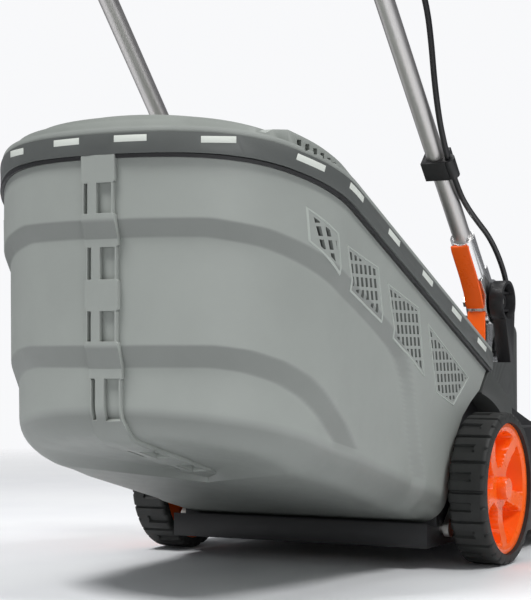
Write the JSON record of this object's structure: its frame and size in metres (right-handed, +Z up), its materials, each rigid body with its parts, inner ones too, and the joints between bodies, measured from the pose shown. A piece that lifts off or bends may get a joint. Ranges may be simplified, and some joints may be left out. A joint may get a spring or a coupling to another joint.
{
  "type": "lawn mower",
  "caption": "Electric rotary push mower: rigid vented rear collector, folding tube handle, four spoked wheels, height lever and bail switch.",
  "frame": {"origin": "on the ground, midway between the rear wheels, under their axle", "axes": "+Y forward, the way the mower is pushed; +X to the right of the person behind it; +Z up"},
  "size_m": [0.47, 1.072, 1.0471],
  "materials": {
    "shell_grey": "satin moulded",
    "rim_grey": "satin moulded",
    "clip_pale": "satin moulded",
    "black_plastic": "moulded",
    "dark_plastic": "moulded",
    "orange_plastic": "glossy moulded",
    "tyre_black": "hard rubber",
    "tube": "satin anodised",
    "casting": "polished casting",
    "steel": "zinc plated",
    "blade_steel": "hardened",
    "motor_metal": "painted",
    "lamination": "laminated iron",
    "brass": "turned",
    "black_metal": "powder coated",
    "foam": "foam",
    "cable": "cable sheath"
  },
  "bodies": {
    "chassis": {"deck": "black_plastic", "fenders": "dark_plastic", "blade_housing": "black_plastic", "discharge_chute": "black_plastic", "motor_hood": "dark_plastic", "motor_casing": "motor_metal", "motor_stator": "lamination", "motor_bearings": "steel", "flap_pin": "steel", "flap_spring": "steel", "handle_base_left": "casting", "handle_base_right": "casting", "bracket_fasteners": "steel", "cable_gland": "black_plastic"},
    "rotor": {"motor_shaft": "steel", "armature": "lamination", "blade_carrier": "black_plastic", "blade": "blade_steel", "blade_bolt": "steel"},
    "rear_axle": {"rear_axle": "steel", "rear_wheel_washers": "steel"},
    "front_axle": {"front_axle": "steel", "front_wheel_washers": "steel"},
    "rear_left_wheel": {"rear_left_tyre": "tyre_black", "rear_left_hub": "orange_plastic"},
    "rear_right_wheel": {"rear_right_tyre": "tyre_black", "rear_right_hub": "orange_plastic"},
    "front_left_wheel": {"front_left_tyre": "tyre_black", "front_left_hub": "orange_plastic"},
    "front_right_wheel": {"front_right_tyre": "tyre_black", "front_right_hub": "orange_plastic"},
    "collector": {"collector_left": "shell_grey", "collector_right": "shell_grey", "collector_rim": "rim_grey", "rim_clips": "clip_pale", "collector_lid": "shell_grey"},
    "flap": {"rear_flap": "dark_plastic"},
    "lower_handle": {"handle_socket_left": "casting", "handle_socket_right": "casting", "socket_trim": "orange_plastic", "socket_screws": "steel", "lower_tube_left": "tube", "lower_tube_right": "tube", "knob_bolts": "steel", "cable_clip": "black_plastic", "cable_lower": "cable", "cable_upper": "cable"},
    "left_clamp": {"clamp_lever_left": "black_plastic"},
    "right_clamp": {"clamp_lever_right": "black_plastic"},
    "left_knob": {"knob_left": "black_plastic"},
    "right_knob": {"knob_right": "black_plastic"},
    "upper_handle": {"upper_handle": "tube", "grip_sleeve": "foam", "switch_box": "black_plastic", "switch_cover": "black_plastic", "inlet_pins": "brass", "bail_pivot": "black_plastic"},
    "bail": {"bail_lever": "black_metal"},
    "button": {"lock_button": "orange_plastic"},
    "height_lever": {"height_lever": "black_metal"}
  },
  "joints": [
    {"name": "blade_spin", "type": "hinge", "parent": "chassis", "child": "rotor", "pos_m": [0, 0.215, 0.056], "axis": [0, 0, 1], "continuous": true},
    {"name": "rear_axle_swing", "type": "hinge", "parent": "chassis", "child": "rear_axle", "pos_m": [0, -0.05, 0.045], "axis": [1, 0, 0], "range_deg": [-15, 15]},
    {"name": "front_axle_swing", "type": "hinge", "parent": "chassis", "child": "front_axle", "pos_m": [0, 0.45, 0.045], "axis": [1, 0, 0], "range_deg": [-15, 15]},
    {"name": "height_lever_swing", "type": "hinge", "parent": "chassis", "child": "height_lever", "pos_m": [-0.19, 0.215, 0.148], "axis": [1, 0, 0], "range_deg": [-15, 15]},
    {"name": "collector_lift_off", "type": "slide", "parent": "chassis", "child": "collector", "axis": [0, -0.9724, 0.2334], "range_m": [0, 0.12]},
    {"name": "flap_lift", "type": "hinge", "parent": "chassis", "child": "flap", "pos_m": [0, 0.064, 0.276], "axis": [1, 0, 0], "range_deg": [-75, 0], "stiffness_Nm_per_rad": 0.05, "springref_deg": 34.38},
    {"name": "handle_fold", "type": "hinge", "parent": "chassis", "child": "lower_handle", "pos_m": [0, 0.092, 0.315], "axis": [1, 0, 0], "range_deg": [-115, 0], "deforming": ["cable_lower"]},
    {"name": "upper_handle_fold", "type": "hinge", "parent": "lower_handle", "child": "upper_handle", "pos_m": [0, -0.27118, 0.68716], "axis": [1, 0, 0], "range_deg": [0, 153], "deforming": ["cable_upper"]},
    {"name": "left_clamp_turn", "type": "hinge", "parent": "chassis", "child": "left_clamp", "pos_m": [-0.19, 0.092, 0.315], "axis": [1, 0, 0], "range_deg": [0, 100]},
    {"name": "right_clamp_turn", "type": "hinge", "parent": "chassis", "child": "right_clamp", "pos_m": [0.19, 0.092, 0.315], "axis": [1, 0, 0], "range_deg": [0, 100]},
    {"name": "left_knob_turn", "type": "hinge", "parent": "lower_handle", "child": "left_knob", "pos_m": [-0.19, -0.27118, 0.68716], "axis": [1, 0, 0], "continuous": true},
    {"name": "right_knob_turn", "type": "hinge", "parent": "lower_handle", "child": "right_knob", "pos_m": [0.19, -0.27118, 0.68716], "axis": [1, 0, 0], "continuous": true},
    {"name": "bail_squeeze", "type": "hinge", "parent": "upper_handle", "child": "bail", "pos_m": [0, -0.48161, 0.94289], "axis": [1, 0, 0], "range_deg": [0, 27], "stiffness_Nm_per_rad": 1, "springref_deg": -20.05},
    {"name": "lock_button_press", "type": "slide", "parent": "upper_handle", "child": "button", "axis": [0, -0.7157, -0.6984], "range_m": [0, 0.004], "stiffness_N_per_m": 400, "springref_m": -0.002},
    {"name": "rear_left_wheel_roll", "type": "hinge", "parent": "rear_axle", "child": "rear_left_wheel", "pos_m": [-0.211, 0, 0.09], "axis": [1, 0, 0], "continuous": true},
    {"name": "rear_right_wheel_roll", "type": "hinge", "parent": "rear_axle", "child": "rear_right_wheel", "pos_m": [0.211, 0, 0.09], "axis": [1, 0, 0], "continuous": true},
    {"name": "front_left_wheel_roll", "type": "hinge", "parent": "front_axle", "child": "front_left_wheel", "pos_m": [-0.211, 0.4, 0.075], "axis": [1, 0, 0], "continuous": true},
    {"name": "front_right_wheel_roll", "type": "hinge", "parent": "front_axle", "child": "front_right_wheel", "pos_m": [0.211, 0.4, 0.075], "axis": [1, 0, 0], "continuous": true}
  ],
  "couplings": [
    {"joint": "front_axle_swing", "follows": "rear_axle_swing", "ratio": -1},
    {"joint": "height_lever_swing", "follows": "rear_axle_swing", "ratio": 1},
    {"joint": "upper_handle_fold", "follows": "handle_fold", "ratio": -1.33}
  ]
}
